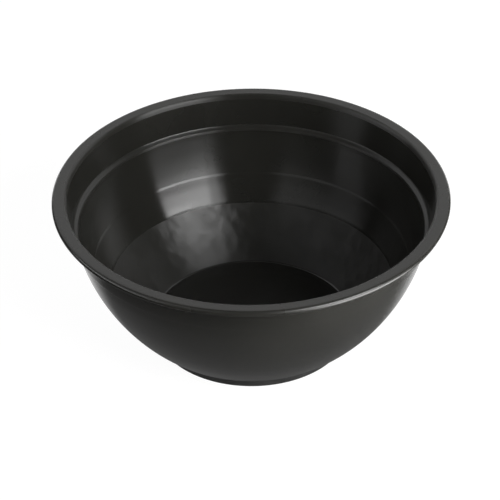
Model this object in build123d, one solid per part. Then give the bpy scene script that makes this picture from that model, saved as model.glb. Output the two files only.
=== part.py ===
from build123d import *

import os
from math import sqrt

# A round salon bowl for mixing hair color: one glossy plastic moulding that stands on a rubber ring.
# Millimetres. +Z is up, the origin is the centre of the face the bowl stands on, and Z is the axis of
# revolution. Every section is drawn on the XZ plane, with X as the radius. A depth is measured down
# from the flat top of the rim.

FULL_TURN = 360

# overall
OVERALL_HEIGHT = 62.6
RIM_RADIUS = 75.0

# rim flange, with a turned-down lip and a narrow channel under it
RIM_INNER_RADIUS = 69.8
LIP_HEIGHT = 2.4
LIP_THICKNESS = 1.5
FLANGE_THICKNESS = 1.5
RIM_TOP_ROUND = 1.35
LIP_BOTTOM_ROUND = 1.0
LIP_INNER_ROUND = 0.3
RIM_INNER_ROUND = 1.2

# neck band between the rim and the stacking shoulder
NECK_THICKNESS = 1.0
NECK_BOTTOM_RADIUS = 67.2
LEDGE_DEPTH = 12.8
LEDGE_FALL = 0.6
LEDGE_CORNER_ROUND = 0.9
LEDGE_EDGE_ROUND = 0.4
SHOULDER_DEPTH = 13.1
SHOULDER_FALL = 0.9
SHOULDER_ROUND = 0.8

# rounded wall, thickest under the neck: arcs about centres close to the axis and just above the rim.
# Each is the centre's distance from the axis, the centre's depth and the arc's radius.
OUTER_ARC = (-8.5, -1.9, 77.18)
INNER_ARC = (-7.4, -0.8, 74.36)

# fine steps inside the wall, each one a fill line
UPPER_LINE_DEPTH = 30.2
LOWER_LINE_DEPTH = 41.0
LINE_STEP = 0.12
LINE_LENGTH = 0.8

# floor
FLOOR_DEPTH = 58.2
FLOOR_THICKNESS = 1.6
FLOOR_ROUND = 1.6

# foot skirt under the floor, and the seat that the rubber ring butts against
SEAT_HEIGHT = 2.6
SKIRT_OUTER_RADIUS = 35.85
SKIRT_THICKNESS = 1.5
SKIRT_BOTTOM = 1.0

# bead round the skirt, which snaps into a groove in the rubber ring and holds it on
BEAD_BOTTOM = 1.4
BEAD_HEIGHT = 0.8
BEAD_PROUD = 0.3
BEAD_SLOPE = 0.2

# moulding gate under the floor, a low stub in the middle of a shallow dimple
DIMPLE_RADIUS = 5.0
DIMPLE_DEPTH = 0.4
GATE_RADIUS = 1.5
GATE_HEIGHT = 0.6

# rubber ring
RING_OUTER_RADIUS = 37.35
RING_LIP_THICKNESS = 1.0
RING_LIP_HEIGHT = 2.2
RING_ROUND = 0.45
RING_LIP_ROUND = 0.3


def level(depth):
    """Height above the standing face of a point this far below the rim."""
    return OVERALL_HEIGHT - depth


def wall_radius(arc, depth):
    """Distance of an arc of the wall from the axis, at a depth."""
    centre_radius, centre_depth, arc_radius = arc
    fall = depth - centre_depth
    return centre_radius + sqrt(arc_radius**2 - fall**2)


def wall_arc(arc, top_depth, bottom_depth):
    """Part of the wall's section between two depths, drawn downwards."""
    depths = [top_depth, (top_depth + bottom_depth) / 2, bottom_depth]
    points = [(wall_radius(arc, depth), level(depth)) for depth in depths]
    return ThreePointArc(*points)


def rounded(section, corners):
    """The section with each corner, named by the point it lies nearest to, rounded to its own size."""
    for point, size in corners:
        corner = section.vertices().sort_by_distance(Vector(point))[0]
        section = fillet(corner, size)
    return section


def revolved(section):
    """Solid of revolution about Z of a section drawn in the XY plane as (radius, height)."""
    return revolve(Plane.XZ * section, Axis.Z, FULL_TURN)


def skirt_side():
    """Outer side of the foot skirt from the seat down, with its bead. The ring's channel has it too."""
    bead_radius = SKIRT_OUTER_RADIUS + BEAD_PROUD
    return [
        (SKIRT_OUTER_RADIUS, SEAT_HEIGHT),
        (SKIRT_OUTER_RADIUS, BEAD_BOTTOM + BEAD_HEIGHT),
        (bead_radius, BEAD_BOTTOM + BEAD_HEIGHT - BEAD_SLOPE),
        (bead_radius, BEAD_BOTTOM + BEAD_SLOPE),
        (SKIRT_OUTER_RADIUS, BEAD_BOTTOM),
        (SKIRT_OUTER_RADIUS, SKIRT_BOTTOM),
    ]


def inner_wall():
    """Inside of the wall, down from the ledge to the floor. The band between the fill lines is proud."""
    centre_radius, centre_depth, arc_radius = INNER_ARC
    band_arc = (centre_radius, centre_depth, arc_radius - LINE_STEP)
    upper = wall_arc(INNER_ARC, LEDGE_DEPTH + LEDGE_FALL, UPPER_LINE_DEPTH)
    middle = wall_arc(band_arc, UPPER_LINE_DEPTH + LINE_LENGTH, LOWER_LINE_DEPTH - LINE_LENGTH)
    lower = wall_arc(INNER_ARC, LOWER_LINE_DEPTH, FLOOR_DEPTH)
    upper_step = Line(upper @ 1, middle @ 0)
    lower_step = Line(middle @ 1, lower @ 0)
    return [upper, upper_step, middle, lower_step, lower]


def bowl_shell():
    """The one-piece moulding: rim, neck, wall, floor and foot skirt."""
    lip_inner_radius = RIM_RADIUS - LIP_THICKNESS
    neck_outer_top = RIM_INNER_RADIUS + NECK_THICKNESS
    neck_outer_bottom = NECK_BOTTOM_RADIUS + NECK_THICKNESS
    wall_top_depth = SHOULDER_DEPTH + SHOULDER_FALL
    skirt_inner_radius = SKIRT_OUTER_RADIUS - SKIRT_THICKNESS
    underside = level(FLOOR_DEPTH + FLOOR_THICKNESS)
    dimple = underside + DIMPLE_DEPTH

    inside = inner_wall()
    outside = wall_arc(OUTER_ARC, wall_top_depth, level(SEAT_HEIGHT))
    rim_and_neck = Polyline(
        inside[0] @ 0,
        (NECK_BOTTOM_RADIUS, level(LEDGE_DEPTH)),
        (RIM_INNER_RADIUS, level(0)),
        (RIM_RADIUS, level(0)),
        (RIM_RADIUS, level(LIP_HEIGHT)),
        (lip_inner_radius, level(LIP_HEIGHT)),
        (lip_inner_radius, level(FLANGE_THICKNESS)),
        (neck_outer_top, level(FLANGE_THICKNESS)),
        (neck_outer_bottom, level(SHOULDER_DEPTH)),
        outside @ 0,
    )
    foot_and_floor = Polyline(
        outside @ 1,
        *skirt_side(),
        (skirt_inner_radius, SKIRT_BOTTOM),
        (skirt_inner_radius, underside),
        (DIMPLE_RADIUS, underside),
        (DIMPLE_RADIUS, dimple),
        (GATE_RADIUS, dimple),
        (GATE_RADIUS, dimple - GATE_HEIGHT),
        (0, dimple - GATE_HEIGHT),
        (0, level(FLOOR_DEPTH)),
        inside[-1] @ 1,
    )
    section = make_face([*inside, rim_and_neck, outside, foot_and_floor])
    corners = [
        ((RIM_INNER_RADIUS, level(0)), RIM_INNER_ROUND),
        ((RIM_RADIUS, level(0)), RIM_TOP_ROUND),
        ((RIM_RADIUS, level(LIP_HEIGHT)), LIP_BOTTOM_ROUND),
        ((lip_inner_radius, level(LIP_HEIGHT)), LIP_INNER_ROUND),
        ((neck_outer_bottom, level(SHOULDER_DEPTH)), SHOULDER_ROUND),
        ((NECK_BOTTOM_RADIUS, level(LEDGE_DEPTH)), LEDGE_CORNER_ROUND),
        (inside[0] @ 0, LEDGE_EDGE_ROUND),
        (inside[-1] @ 1, FLOOR_ROUND),
    ]
    return revolved(rounded(section, corners))


def non_slip_ring():
    """Rubber ring of channel section. The foot skirt stands in its channel, and it meets the seat."""
    skirt_inner_radius = SKIRT_OUTER_RADIUS - SKIRT_THICKNESS
    lip_inner_radius = skirt_inner_radius - RING_LIP_THICKNESS
    outline = [
        (RING_OUTER_RADIUS, 0),
        (RING_OUTER_RADIUS, SEAT_HEIGHT),
        *skirt_side(),
        (skirt_inner_radius, SKIRT_BOTTOM),
        (skirt_inner_radius, RING_LIP_HEIGHT),
        (lip_inner_radius, RING_LIP_HEIGHT),
        (lip_inner_radius, 0),
    ]
    section = make_face(Polyline(*outline, close=True))
    corners = [
        ((RING_OUTER_RADIUS, 0), RING_ROUND),
        ((RING_OUTER_RADIUS, SEAT_HEIGHT), RING_LIP_ROUND),
        ((lip_inner_radius, 0), RING_ROUND),
        ((lip_inner_radius, RING_LIP_HEIGHT), RING_LIP_ROUND),
    ]
    return revolved(rounded(section, corners))


def write(node, solid):
    """Writes one node as parts/NODE.step."""
    solid.label = node
    export_step(solid, f"parts/{node}.step")


os.makedirs("parts", exist_ok=True)
write("bowl_shell", bowl_shell())
write("non_slip_ring", non_slip_ring())
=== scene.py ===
from math import asin, cos, hypot, pi, radians, sin, sqrt, tan

import bpy
from mathutils import Matrix, Vector


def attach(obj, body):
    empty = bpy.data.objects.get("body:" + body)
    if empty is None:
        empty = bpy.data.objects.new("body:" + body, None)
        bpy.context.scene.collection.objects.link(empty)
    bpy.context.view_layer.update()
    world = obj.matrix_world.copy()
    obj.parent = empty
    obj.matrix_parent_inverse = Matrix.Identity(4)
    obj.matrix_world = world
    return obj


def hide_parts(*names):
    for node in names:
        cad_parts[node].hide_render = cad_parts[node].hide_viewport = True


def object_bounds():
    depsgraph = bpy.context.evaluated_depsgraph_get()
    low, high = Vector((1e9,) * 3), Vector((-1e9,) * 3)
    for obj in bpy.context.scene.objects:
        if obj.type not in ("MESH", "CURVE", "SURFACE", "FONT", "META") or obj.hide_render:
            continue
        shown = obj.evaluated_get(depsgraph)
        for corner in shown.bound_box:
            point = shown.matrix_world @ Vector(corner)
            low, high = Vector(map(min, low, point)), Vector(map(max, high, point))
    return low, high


# A black salon bowl for mixing hair color, standing on a rubber ring. Metres, in the frame of the part.
# The bowl and the ring are turned about Z from their sections, where a point is (radius, height), or
# (radius, height, corner size) where the section has a rounded corner.

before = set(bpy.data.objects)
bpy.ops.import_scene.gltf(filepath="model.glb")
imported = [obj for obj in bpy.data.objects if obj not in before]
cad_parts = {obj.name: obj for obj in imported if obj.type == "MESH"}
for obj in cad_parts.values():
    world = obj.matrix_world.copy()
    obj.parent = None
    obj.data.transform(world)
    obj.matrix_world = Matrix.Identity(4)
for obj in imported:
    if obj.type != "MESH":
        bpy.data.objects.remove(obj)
cad_low, cad_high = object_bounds()

MM = 0.001
HEIGHT = cad_high.z - cad_low.z
RIM = min(cad_high.x, cad_high.y, -cad_low.x, -cad_low.y)

# bowl section: distances from the axis, and depths below the rim
RIM_INNER = 69.8 * MM
LIP_INNER = 73.5 * MM
LIP_DEPTH = 2.4 * MM
FLANGE_DEPTH = 1.5 * MM
NECK_THICKNESS = 1.0 * MM
NECK_BOTTOM = 67.2 * MM
LEDGE_DEPTH = 12.8 * MM
LEDGE_FALL = 0.6 * MM
SHOULDER_DEPTH = 13.1 * MM
SHOULDER_FALL = 0.9 * MM
UPPER_LINE = 30.2 * MM
LOWER_LINE = 41.0 * MM
LINE_STEP = 0.12 * MM
LINE_LENGTH = 0.8 * MM
FLOOR_DEPTH = 58.2 * MM
FLOOR_THICKNESS = 1.6 * MM

# arcs of the rounded wall: the centre's distance from the axis, the centre's depth and the arc's radius
OUTER_ARC = (-8.5 * MM, -1.9 * MM, 77.18 * MM)
INNER_ARC = (-7.4 * MM, -0.8 * MM, 74.36 * MM)
BAND_ARC = (*INNER_ARC[:2], INNER_ARC[2] - LINE_STEP)

# foot skirt, moulding gate and rubber ring: radii and heights
SEAT = 2.6 * MM
SKIRT_OUTER = 35.85 * MM
SKIRT_INNER = 34.35 * MM
SKIRT_BOTTOM = 1.0 * MM
BEAD_PROUD = 0.3 * MM
BEAD_LEVELS = (2.2 * MM, 2.0 * MM, 1.6 * MM, 1.4 * MM)
DIMPLE = 5.0 * MM
DIMPLE_DEPTH = 0.4 * MM
GATE = 1.5 * MM
GATE_HEIGHT = 0.6 * MM
RING_OUTER = 37.35 * MM
RING_INNER = 33.35 * MM
RING_LIP = 2.2 * MM

# corner sizes of the sections
RIM_INNER_ROUND = 1.2 * MM
RIM_ROUND = 1.35 * MM
LIP_ROUND = 1.0 * MM
SMALL_ROUND = 0.3 * MM
LEDGE_CORNER_ROUND = 0.9 * MM
LEDGE_EDGE_ROUND = 0.4 * MM
SHOULDER_ROUND = 0.8 * MM
LINE_ROUND = 0.25 * MM
FLOOR_ROUND = 1.6 * MM
GATE_ROUND = 0.15 * MM
RING_ROUND = 0.45 * MM

# how far down the inside the rubbed finish of the ledge's edge and of the rim's edge reaches
WORN_EDGE = 0.8 * MM
WORN_RIM = 2.0 * MM

# how finely the sections are drawn and turned
SPACING = 1.0 * MM
AROUND = 256
CORNER_STEPS = 7

# how closely a rounded corner follows its tip, the most of a step that it cuts off, and what counts as zero
CORNER_FULLNESS = 0.9
MOST_CUT = 0.95
ON_AXIS = 1e-9


# sections

def below_rim(depth):
    """Height of what lies at a depth."""
    return HEIGHT - depth


def wall_point(arc, depth):
    """Point of the rounded wall at a depth."""
    centre, centre_depth, arc_radius = arc
    return (centre + sqrt(arc_radius**2 - (depth - centre_depth) ** 2), below_rim(depth))


def distance(start, end):
    """Length of a straight step of a section."""
    return hypot(end[0] - start[0], end[1] - start[1])


def part_way(start, end, share):
    """Point at a share of the way from start to end."""
    return (start[0] + (end[0] - start[0]) * share, start[1] + (end[1] - start[1]) * share)


def along(start, end):
    """Points of a straight run of a section."""
    count = max(2, round(distance(start, end) / SPACING))
    return [part_way(start, end, i / count) for i in range(count + 1)]


def wall_run(arc, start_depth, end_depth):
    """Points of a run of the rounded wall, evenly spaced round its centre."""
    centre, centre_depth, arc_radius = arc
    start, end = (asin((depth - centre_depth) / arc_radius) for depth in (start_depth, end_depth))
    count = max(2, round(abs(end - start) * arc_radius / SPACING))
    turns = [start + (end - start) * i / count for i in range(count + 1)]
    return [wall_point(arc, centre_depth + arc_radius * sin(turn)) for turn in turns]


def cut_back(points, length):
    """The run without its last part of this length."""
    points = list(points)
    while len(points) > 2 and distance(points[-2], points[-1]) <= length:
        length -= distance(points[-2], points[-1])
        points.pop()
    share = min(length / distance(points[-2], points[-1]), MOST_CUT)
    points[-1] = part_way(points[-1], points[-2], share)
    return points


def corner_points(start, tip, end):
    """Points of a rounded corner between start and end, drawn towards its tip."""
    points = []
    for step in range(1, CORNER_STEPS):
        t = step / CORNER_STEPS
        weights = ((1 - t) ** 2, 2 * t * (1 - t) * CORNER_FULLNESS, t**2)
        weighted = list(zip(weights, (start, tip, end)))
        points.append(tuple(sum(w * point[k] for w, point in weighted) / sum(weights) for k in (0, 1)))
    return points


def joined(runs):
    """One section from runs of (points, finish, corner size at the end), with the finish of each face."""
    section, finishes = [], []
    reach = 0
    for i, (points, finish, size) in enumerate(runs):
        if reach:
            points = cut_back(points[::-1], reach)[::-1]
        reach = 0
        corner = []
        if size and i + 1 < len(runs):
            following = runs[i + 1][0]
            tip = points[-1]
            arriving = Vector(tip) - Vector(points[-2])
            leaving = Vector(following[1]) - Vector(tip)
            reach = size * tan(arriving.angle(leaving) / 2)
            points = cut_back(points, reach)
            corner = corner_points(points[-1], tip, cut_back(following[::-1], reach)[-1])
        if section and points[0] == section[-1]:
            points = points[1:]
        for point in [*points, *corner]:
            if section:
                finishes.append(finish)
            section.append(point)
    return section, finishes


def turned(name, section, finishes, materials):
    """Mesh of a section turned about Z. A section with as many finishes as points closes on itself."""
    vertices, rings = [], []
    for radius, height in section:
        count = 1 if radius < ON_AXIS else AROUND
        rings.append(range(len(vertices), len(vertices) + count))
        for i in range(count):
            turn = 2 * pi * i / AROUND
            vertices.append((radius * cos(turn), radius * sin(turn), height))
    faces, slots = [], []
    for lower, upper, finish in zip(rings, rings[1:] + rings[:1], finishes):
        for i in range(AROUND):
            j = (i + 1) % AROUND
            corners = [ring[k % len(ring)] for ring, k in ((lower, i), (lower, j), (upper, j), (upper, i))]
            faces.append(list(dict.fromkeys(corners)))
            slots.append(materials.index(finish))
    mesh = bpy.data.meshes.new(name)
    mesh.from_pydata(vertices, [], faces)
    for finish in materials:
        mesh.materials.append(finish)
    mesh.polygons.foreach_set("material_index", slots)
    mesh.polygons.foreach_set("use_smooth", [True] * len(faces))
    mesh.validate()
    piece = bpy.data.objects.new(name, mesh)
    bpy.context.scene.collection.objects.link(piece)
    return piece


# node tools

# places of the colour sockets of a Mix node
MIX_A, MIX_B, MIX_RESULT = 6, 7, 2


def shader(name, color, roughness, **sockets):
    """Material with one Principled shader. Sockets are set by name with underscores for spaces."""
    material = bpy.data.materials.new(name)
    material.use_nodes = True
    principled = material.node_tree.nodes["Principled BSDF"]
    principled.inputs["Base Color"].default_value = (*color, 1)
    principled.inputs["Roughness"].default_value = roughness
    for socket, value in sockets.items():
        principled.inputs[socket.replace("_", " ")].default_value = value
    return material, material.node_tree, principled


def feed(tree, socket, value):
    """Gives a socket a number or the output of another node."""
    if isinstance(value, bpy.types.NodeSocket):
        tree.links.new(value, socket)
    else:
        socket.default_value = value


def add(tree, kind, settings=None, **inputs):
    """New node. Inputs are given by name with underscores for spaces."""
    made = tree.nodes.new(kind)
    for key, value in (settings or {}).items():
        setattr(made, key, value)
    for key, value in inputs.items():
        feed(tree, made.inputs[key.replace("_", " ")], value)
    return made


def noise(tree, stretch, scale, detail=2.0, roughness=0.5, **more):
    """Noise over the piece in waves per metre. Stretch squeezes the pattern along X, Y and Z."""
    place = add(tree, "ShaderNodeTexCoord").outputs["Object"]
    mapped = add(tree, "ShaderNodeMapping", Vector=place, Scale=stretch)
    made = add(tree, "ShaderNodeTexNoise", Vector=mapped.outputs["Vector"], Scale=scale, Detail=detail,
               Roughness=roughness, **more)
    return made.outputs["Fac"]


def between(tree, value, low, high, start=0.3, end=0.7):
    """The value spread from low to high, as it goes from start to end."""
    made = add(tree, "ShaderNodeMapRange", Value=value, From_Min=start, From_Max=end, To_Min=low,
               To_Max=high)
    return made.outputs["Result"]


def calculated(tree, operation, a, b):
    """Sum or product of two values."""
    made = add(tree, "ShaderNodeMath", {"operation": operation})
    feed(tree, made.inputs[0], a)
    feed(tree, made.inputs[1], b)
    return made.outputs["Value"]


def varied(tree, principled, value, roughness, shares, *spread):
    """Roughness that varies with the value, between two shares of itself."""
    least, most = (roughness * share for share in shares)
    tree.links.new(between(tree, value, least, most, *spread), principled.inputs["Roughness"])


def tinted(tree, principled, value, dark, light, *spread):
    """Colour that runs from dark to light with the value."""
    mixed = add(tree, "ShaderNodeMix", {"data_type": "RGBA"})
    tree.links.new(between(tree, value, 0, 1, *spread), mixed.inputs["Factor"])
    mixed.inputs[MIX_A].default_value = (*dark, 1)
    mixed.inputs[MIX_B].default_value = (*light, 1)
    tree.links.new(mixed.outputs[MIX_RESULT], principled.inputs["Base Color"])


def bumped(tree, principled, heights):
    """Bumps one after another, each (value, height in metres)."""
    normal = None
    for value, height in heights:
        made = add(tree, "ShaderNodeBump", Height=value, Distance=height, Strength=1.0)
        if normal:
            tree.links.new(normal, made.inputs["Normal"])
        normal = made.outputs["Normal"]
    tree.links.new(normal, principled.inputs["Normal"])


def turned_grain(tree, principled):
    """Polishing marks of the mould run round the bowl."""
    tangent = add(tree, "ShaderNodeTangent", {"direction_type": "RADIAL", "axis": "Z"})
    tree.links.new(tangent.outputs["Tangent"], principled.inputs["Tangent"])


# finishes

WARM_BLACK = (0.0175, 0.0172, 0.0152)
WORN_BLACK = (0.0215, 0.0212, 0.0195)
DEEP_BLACK = (0.0132, 0.013, 0.0112)
RUBBER_BLACK = (0.018, 0.018, 0.0172)
RUBBER_DUST = (0.038, 0.038, 0.0366)
WEAR_LIGHTENS = 1.25
PLASTIC_IOR = 1.5
QUARTER_TURN = 0.25

# stretches of a noise
EVEN = (1, 1, 1)
ROUND_THE_BOWL = (0.02, 0.02, 1)
DOWN_THE_WALL = (1, 1, 0.12)
ALONG_Y = (1, 0.08, 1)

# heights of the bumps. The mould's bands are this many times as high as its turned rings.
ORANGE_PEEL = 0.0022 * MM
BAND_HEIGHT = 20
SATIN_WAVES = 0.26 * MM
SATIN_STREAKS = 0.06 * MM
SATIN_GRAIN = 0.006 * MM
FLOOR_SCRATCHES = 0.004 * MM
UNDERSIDE_GRAIN = 0.02 * MM
RUBBER_GRAIN = 0.03 * MM

# least and most of each roughness, as shares of it
GLOSS_VARIES = (0.92, 1.1)
SATIN_VARIES = (0.8, 1.25)
FLOOR_VARIES = (0.8, 1.3)
UNDERSIDE_VARIES = (0.8, 1.2)
RUBBER_VARIES = (0.9, 1.1)

# range of the worn noise over which the satin finish changes
SATIN_SPREAD = (0.35, 0.65)


def gloss_plastic(name, roughness, anisotropic, ring_height, black=WARM_BLACK):
    """Glossy moulded plastic with faint turned rings, orange peel and a little wear."""
    material, tree, principled = shader(name, black, roughness, IOR=PLASTIC_IOR, Anisotropic=anisotropic,
                                        Anisotropic_Rotation=QUARTER_TURN)
    turned_grain(tree, principled)
    cloud = noise(tree, EVEN, scale=38.0, detail=3.0)
    varied(tree, principled, cloud, roughness, GLOSS_VARIES)
    tinted(tree, principled, cloud, black, [WEAR_LIGHTENS * channel for channel in black])
    rings = noise(tree, ROUND_THE_BOWL, scale=420.0, detail=3.0, roughness=0.6)
    peel = noise(tree, EVEN, scale=750.0, detail=1.0)
    bands = noise(tree, ROUND_THE_BOWL, scale=110.0, detail=1.0)
    bumped(tree, principled, [(bands, BAND_HEIGHT * ring_height), (rings, ring_height), (peel, ORANGE_PEEL)])
    return material


def satin_plastic(name, roughness, anisotropic):
    """The lower inside wall: scuffed by brushes and whisks, so it is dull and mottled."""
    material, tree, principled = shader(name, WORN_BLACK, roughness, IOR=PLASTIC_IOR,
                                        Anisotropic=anisotropic, Anisotropic_Rotation=QUARTER_TURN)
    turned_grain(tree, principled)
    streaks = noise(tree, DOWN_THE_WALL, scale=170.0, detail=4.0, roughness=0.6, Distortion=0.6)
    cloud = noise(tree, EVEN, scale=130.0, detail=3.0, roughness=0.6)
    halves = (calculated(tree, "MULTIPLY", pattern, 0.5) for pattern in (streaks, cloud))
    worn = calculated(tree, "ADD", *halves)
    varied(tree, principled, worn, roughness, SATIN_VARIES, *SATIN_SPREAD)
    tinted(tree, principled, worn, WARM_BLACK, WORN_BLACK, *SATIN_SPREAD)
    grain = noise(tree, EVEN, scale=1500.0, detail=2.0)
    waves = noise(tree, EVEN, scale=230.0, detail=0.5)
    bumped(tree, principled, [(waves, SATIN_WAVES), (streaks, SATIN_STREAKS), (grain, SATIN_GRAIN)])
    return material


def floor_plastic(name, roughness):
    """The flat floor inside: polished, with fine scratches from stirring."""
    material, tree, principled = shader(name, WARM_BLACK, roughness, IOR=PLASTIC_IOR)
    cloud = noise(tree, EVEN, scale=60.0, detail=3.0)
    varied(tree, principled, cloud, roughness, FLOOR_VARIES)
    tinted(tree, principled, cloud, WARM_BLACK, WORN_BLACK)
    scratches = noise(tree, ALONG_Y, scale=900.0, detail=2.0, Distortion=1.5)
    bumped(tree, principled, [(scratches, FLOOR_SCRATCHES)])
    return material


def underside_plastic(name, roughness):
    """Plain moulded finish under the floor, dulled where it is handled and stacked."""
    material, tree, principled = shader(name, WORN_BLACK, roughness, IOR=PLASTIC_IOR)
    cloud = noise(tree, EVEN, scale=45.0, detail=4.0)
    varied(tree, principled, cloud, roughness, UNDERSIDE_VARIES)
    tinted(tree, principled, cloud, WARM_BLACK, WORN_BLACK)
    grain = noise(tree, EVEN, scale=1800.0, detail=2.0)
    bumped(tree, principled, [(grain, UNDERSIDE_GRAIN)])
    return material


def rubber(name, roughness):
    """Matte rubber with a fine moulded grain and dust."""
    material, tree, principled = shader(name, RUBBER_BLACK, roughness, IOR=PLASTIC_IOR,
                                        Specular_IOR_Level=0.4)
    cloud = noise(tree, EVEN, scale=120.0, detail=4.0)
    varied(tree, principled, cloud, roughness, RUBBER_VARIES)
    tinted(tree, principled, cloud, RUBBER_BLACK, RUBBER_DUST)
    grain = noise(tree, EVEN, scale=2600.0, detail=2.0)
    bumped(tree, principled, [(grain, RUBBER_GRAIN)])
    return material


# each gloss has its roughness, the strength of its turned grain and the height of its turned rings
inside_gloss = gloss_plastic("plastic_gloss_inside", 0.205, 1.0, 0.012 * MM, DEEP_BLACK)
neck_gloss = gloss_plastic("plastic_gloss_neck", 0.17, 0.3, 0.004 * MM, DEEP_BLACK)
ledge_soft = gloss_plastic("plastic_ledge", 0.3, 1.0, 0.004 * MM)
rim_soft = gloss_plastic("plastic_rim_edge", 0.34, 1.0, 0.002 * MM)
outside_gloss = gloss_plastic("plastic_gloss_outside", 0.22, 0.6, 0.008 * MM)
rim_gloss = gloss_plastic("plastic_gloss_rim", 0.27, 0.3, 0.002 * MM)
satin = satin_plastic("plastic_satin", roughness=0.40, anisotropic=0.8)
floor_gloss = floor_plastic("plastic_floor", roughness=0.16)
underside = underside_plastic("plastic_underside", roughness=0.4)
ring_rubber = rubber("rubber_ring", roughness=0.62)


# the two pieces

def chain(points, finish):
    """Straight runs through the points of a section."""
    runs = []
    for start, end in zip(points, points[1:]):
        size = end[2] if len(end) > 2 else 0
        runs.append((along(start[:2], end[:2]), finish, size))
    return runs


def skirt_side():
    """Outer side of the foot skirt from the seat down, with the bead that holds the rubber ring."""
    proud = SKIRT_OUTER + BEAD_PROUD
    top, upper, lower, bottom = BEAD_LEVELS
    return [
        (SKIRT_OUTER, SEAT),
        (SKIRT_OUTER, top),
        (proud, upper),
        (proud, lower),
        (SKIRT_OUTER, bottom),
        (SKIRT_OUTER, SKIRT_BOTTOM),
    ]


def inside_runs():
    """From the middle of the floor up the inside to the ledge."""
    ledge_bottom = LEDGE_DEPTH + LEDGE_FALL
    lower_wall = wall_run(INNER_ARC, FLOOR_DEPTH, LOWER_LINE)
    band = wall_run(BAND_ARC, LOWER_LINE - LINE_LENGTH, UPPER_LINE + LINE_LENGTH)
    upper_wall = wall_run(INNER_ARC, UPPER_LINE, ledge_bottom + WORN_EDGE)
    wall_edge = wall_run(INNER_ARC, ledge_bottom + WORN_EDGE, ledge_bottom)
    return [
        *chain([(0, below_rim(FLOOR_DEPTH)), (*lower_wall[0], FLOOR_ROUND)], floor_gloss),
        (lower_wall, satin, LINE_ROUND),
        (along(lower_wall[-1], band[0]), inside_gloss, LINE_ROUND),
        (band, inside_gloss, LINE_ROUND),
        (along(band[-1], upper_wall[0]), inside_gloss, LINE_ROUND),
        (upper_wall, inside_gloss, 0),
        (wall_edge, ledge_soft, LEDGE_EDGE_ROUND),
        *chain([wall_edge[-1], (NECK_BOTTOM, below_rim(LEDGE_DEPTH), LEDGE_CORNER_ROUND)], ledge_soft),
    ]


def rim_runs():
    """From the ledge up the neck, over the rim and under it to the top of the neck's outside."""
    neck_slope = (RIM_INNER - NECK_BOTTOM) / LEDGE_DEPTH
    worn_from = (RIM_INNER - neck_slope * WORN_RIM, below_rim(WORN_RIM))
    rim_edge = (RIM_INNER, HEIGHT, RIM_INNER_ROUND)
    lip = [
        rim_edge,
        (RIM, HEIGHT, RIM_ROUND),
        (RIM, below_rim(LIP_DEPTH), LIP_ROUND),
        (LIP_INNER, below_rim(LIP_DEPTH), SMALL_ROUND),
        (LIP_INNER, below_rim(FLANGE_DEPTH), SMALL_ROUND),
        (RIM_INNER + NECK_THICKNESS, below_rim(FLANGE_DEPTH), SMALL_ROUND),
    ]
    return [
        *chain([(NECK_BOTTOM, below_rim(LEDGE_DEPTH)), worn_from], neck_gloss),
        *chain([worn_from, rim_edge], rim_soft),
        *chain(lip, rim_gloss),
    ]


def outside_runs():
    """Down the outside, round the foot skirt and in to the moulding gate under the floor."""
    wall = wall_run(OUTER_ARC, SHOULDER_DEPTH + SHOULDER_FALL, HEIGHT - SEAT)
    neck = [
        (RIM_INNER + NECK_THICKNESS, below_rim(FLANGE_DEPTH)),
        (NECK_BOTTOM + NECK_THICKNESS, below_rim(SHOULDER_DEPTH), SHOULDER_ROUND),
        (*wall[0], SMALL_ROUND),
    ]
    ceiling = below_rim(FLOOR_DEPTH + FLOOR_THICKNESS)
    dimple_top = ceiling + DIMPLE_DEPTH
    foot = [
        wall[-1],
        *skirt_side(),
        (SKIRT_INNER, SKIRT_BOTTOM),
        (SKIRT_INNER, ceiling),
        (DIMPLE, ceiling, GATE_ROUND),
        (DIMPLE, dimple_top, GATE_ROUND),
        (GATE, dimple_top, GATE_ROUND),
        (GATE, dimple_top - GATE_HEIGHT, GATE_ROUND),
        (0, dimple_top - GATE_HEIGHT),
    ]
    return [*chain(neck, outside_gloss), (wall, outside_gloss, 0), *chain(foot, underside)]


def ring_runs():
    """The rubber ring's section, a channel that the foot skirt stands in, from the middle of its sole."""
    sole = ((RING_OUTER + RING_INNER) / 2, 0)
    outline = [
        sole,
        (RING_OUTER, 0, RING_ROUND),
        (RING_OUTER, SEAT, SMALL_ROUND),
        *skirt_side(),
        (SKIRT_INNER, SKIRT_BOTTOM),
        (SKIRT_INNER, RING_LIP),
        (RING_INNER, RING_LIP, SMALL_ROUND),
        (RING_INNER, 0, RING_ROUND),
        sole,
    ]
    return chain(outline, ring_rubber)


bowl_section, bowl_finishes = joined([*inside_runs(), *rim_runs(), *outside_runs()])
bowl = turned("mixing_bowl", bowl_section, bowl_finishes, [
    inside_gloss, neck_gloss, ledge_soft, rim_soft, satin, floor_gloss, rim_gloss, outside_gloss, underside,
])
ring_section, ring_finishes = joined(ring_runs())
ring = turned("standing_ring", ring_section[:-1], ring_finishes, [ring_rubber])
for piece, node, slot in ((bowl, "bowl_shell", "shell_plastic"), (ring, "non_slip_ring", "ring_rubber")):
    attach(piece, "root")
    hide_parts(node)


# camera

ELEVATION = radians(35.51)
DISTANCE = 15.74 * RIM
SIGHT_HEIGHT = 0.521 * HEIGHT
AIM = Vector((-0.008 * RIM, 0, 0.588 * HEIGHT))
ROLL = -0.0098
SENSOR_WIDTH = 36.0
LENS = 222.7
NEAREST_SEEN = 0.05
FARTHEST_SEEN = 30.0

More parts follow.
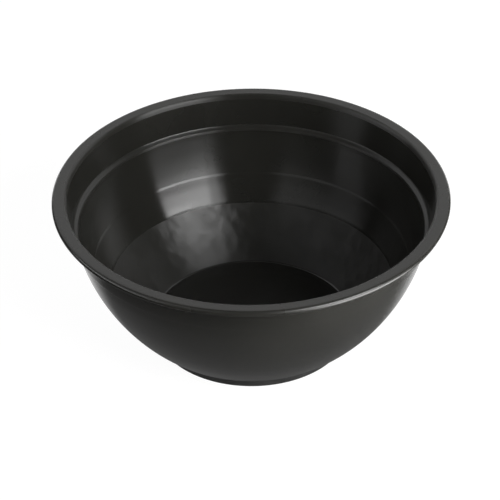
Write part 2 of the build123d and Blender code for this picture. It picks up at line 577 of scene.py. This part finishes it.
camera = bpy.data.objects.new("camera", bpy.data.cameras.new("camera"))
bpy.context.scene.collection.objects.link(camera)
camera.data.sensor_width = SENSOR_WIDTH
camera.data.lens = LENS
camera.data.clip_start = NEAREST_SEEN
camera.data.clip_end = FARTHEST_SEEN
camera.location = (0, -DISTANCE * cos(ELEVATION), SIGHT_HEIGHT + DISTANCE * sin(ELEVATION))
look = (AIM - camera.location).to_track_quat("-Z", "Y").to_matrix().to_4x4()
camera.matrix_world = Matrix.Translation(camera.location) @ look @ Matrix.Rotation(ROLL, 4, "Z")
bpy.context.scene.camera = camera
bpy.context.scene.view_settings.view_transform = "Standard"


# floor: what the camera sees is white paper that runs up into a cove

STAGE_RADIUS = 4.0
COVE_RADIUS = 2.0
COVE_STEPS = 24
BACKDROP_TOP = 8.0
STAGE_RINGS = (0.2, 1.0)
TABLE_RADIUS = 2.0
FLOOR_GAP = 0.1 * MM
PAPER_GREY = (0.12, 0.12, 0.12)
PAPER_ROUGHNESS = 0.8
PAPER_VARIES = (0.9375, 1.0625)
PAPER_GLOW = 0.95
WHITE = (1, 1, 1, 1)
UNLIT = (0, 0, 0)


def stage_surface(name, section, finish):
    """Turned surface that belongs to the studio."""
    made = turned(name, section, [finish] * (len(section) - 1), [finish])
    return made


def cove_point(turn):
    """Point of the quarter circle that joins the floor to the backdrop."""
    return (STAGE_RADIUS + COVE_RADIUS * sin(turn), COVE_RADIUS * (1 - cos(turn)))


paper, paper_tree, paper_shader = shader("white_paper", PAPER_GREY, PAPER_ROUGHNESS, Emission_Color=WHITE,
                                         Emission_Strength=PAPER_GLOW, Specular_IOR_Level=0.0)
fibres = noise(paper_tree, EVEN, scale=900.0, detail=3.0)
varied(paper_tree, paper_shader, fibres, PAPER_ROUGHNESS, PAPER_VARIES)
cove = [cove_point(pi / 2 * i / COVE_STEPS) for i in range(COVE_STEPS + 1)]
flat = [(radius, 0) for radius in (0, *STAGE_RINGS)]
floor = stage_surface("floor", [*flat, *cove, (STAGE_RADIUS + COVE_RADIUS, BACKDROP_TOP)], paper)
floor.visible_diffuse = floor.visible_glossy = floor.visible_shadow = False


# light from below: a glowing sheet, hidden from the camera, that stands in for a lit table. Its glow is
# painted light and shade: bright behind the bowl, and dark in front of it as a painted shadow of the bowl

# Glows start at one strength and end at another, over distances from the axis, distances behind it, or
# how nearly a direction is that of an azimuth. Azimuths are from -Y towards +X.
# painted light and shade of the sheet: a faint glow out to just past the rim, a painted shadow of the bowl
# in front of the axis with painted light behind it, and painted pools of light far behind and far to the
# front right
UNDER_THE_BOWL = (0.19, 0.03, 85 * MM, 100 * MM)
SHADOW_EDGE_BEHIND_AXIS = (0, 0.95, -12 * MM, 22 * MM)
FAR_BEHIND = (0, 3.5, 0.7, 0.95)
FAR_FRONT_RIGHT = (0, 9.5, 0.85, 0.98)
FAR_SHARE = (0, 1, 138 * MM, 162 * MM)
NEAR_SHARE = (1, 0, 115 * MM, 160 * MM)
BEHIND_AXIS_AZIMUTH = 179
BEHIND_AZIMUTH = 180
FRONT_RIGHT_AZIMUTH = 54


def vector_node(tree, operation, vector):
    """Vector node that works on one vector."""
    made = add(tree, "ShaderNodeVectorMath", {"operation": operation})
    tree.links.new(vector, made.inputs[0])
    return made


def along_azimuth(tree, vector, azimuth):
    """How far a vector reaches in the direction of an azimuth."""
    made = vector_node(tree, "DOT_PRODUCT", vector)
    made.inputs[1].default_value = (sin(radians(azimuth)), -cos(radians(azimuth)), 0)
    return made.outputs["Value"]


def table_glow(tree):
    """Strength of the table's painted glow from place to place: painted light behind the bowl and far off,
    painted shadow of the bowl in front.
    """
    place = add(tree, "ShaderNodeTexCoord").outputs["Object"]
    reach = vector_node(tree, "LENGTH", place).outputs["Value"]
    outwards = vector_node(tree, "NORMALIZE", place).outputs["Vector"]
    front = between(tree, reach, *UNDER_THE_BOWL)
    back = between(tree, along_azimuth(tree, place, BEHIND_AXIS_AZIMUTH), *SHADOW_EDGE_BEHIND_AXIS)
    far_back = between(tree, along_azimuth(tree, outwards, BEHIND_AZIMUTH), *FAR_BEHIND)
    far_right = between(tree, along_azimuth(tree, outwards, FRONT_RIGHT_AZIMUTH), *FAR_FRONT_RIGHT)
    far = calculated(tree, "MULTIPLY", calculated(tree, "ADD", far_back, far_right),
                     between(tree, reach, *FAR_SHARE))
    near = calculated(tree, "MULTIPLY", back, between(tree, reach, *NEAR_SHARE))
    return calculated(tree, "ADD", calculated(tree, "ADD", front, near), far)


table, table_tree, table_shader = shader("table_glow", UNLIT, 1.0, Emission_Color=WHITE,
                                         Specular_IOR_Level=0.0)
table_tree.links.new(table_glow(table_tree), table_shader.inputs["Emission Strength"])
table_rings = (0, STAGE_RINGS[0], TABLE_RADIUS)
# the sheet glows though it is no lamp; the camera doesn't see it, only the bowl's reflections and the light
# it sheds do
bounce = stage_surface("table_bounce", [(radius, -FLOOR_GAP) for radius in table_rings], table)
bounce.visible_camera = False


# light from around and above

WORLD_GLOW = 0.05
NEAR_LIGHT = 1.6
FAR_LIGHT = 3.0

# name, azimuth and elevation, the angles it fills across and up, its radiance and its distance
SOFTBOXES = [
    ("key", 47.5, 31, 43, 28, 5.6, NEAR_LIGHT),
    ("key_core", 51, 29, 34, 12, 9.5, NEAR_LIGHT),
    ("key_foot", 47.5, 11, 43, 9, 1.8, NEAR_LIGHT),
    ("low_right", 45, 2, 60, 10, 5.0, NEAR_LIGHT),
    ("low_left", -75, 2, 60, 10, 3.6, NEAR_LIGHT),
    ("low_left_rise", -82, 11, 44, 8, 3.2, NEAR_LIGHT),
    ("fill_left", -60, 36, 70, 30, 0.6, NEAR_LIGHT),
    ("side_right", 124, 30, 20, 20, 0.5, NEAR_LIGHT),
    ("back", 180, 43, 110, 40, 0.8, FAR_LIGHT),
    ("low_back", 180, 1, 70, 10, 3.5, FAR_LIGHT),
]


def softbox(name, azimuth, elevation, across, tall, radiance, away):
    """Soft area light aimed at the middle of the bowl."""
    light = bpy.data.lights.new(name, "AREA")
    light.shape = "RECTANGLE"
    light.size = 2 * away * tan(radians(across / 2))
    light.size_y = 2 * away * tan(radians(tall / 2))
    light.energy = radiance * pi * light.size * light.size_y
    made = bpy.data.objects.new(name, light)
    bpy.context.scene.collection.objects.link(made)
    turn, rise = radians(azimuth), radians(elevation)
    towards = Vector((sin(turn) * cos(rise), -cos(turn) * cos(rise), sin(rise)))
    made.location = Vector((0, 0, HEIGHT / 2)) + towards * away
    made.rotation_mode = "QUATERNION"
    made.rotation_quaternion = towards.to_track_quat("Z", "Y")


for box in SOFTBOXES:
    softbox(*box)

world = bpy.data.worlds.new("studio")
bpy.context.scene.world = world
world.use_nodes = True
background = world.node_tree.nodes["Background"]
background.inputs["Color"].default_value = WHITE
background.inputs["Strength"].default_value = WORLD_GLOW
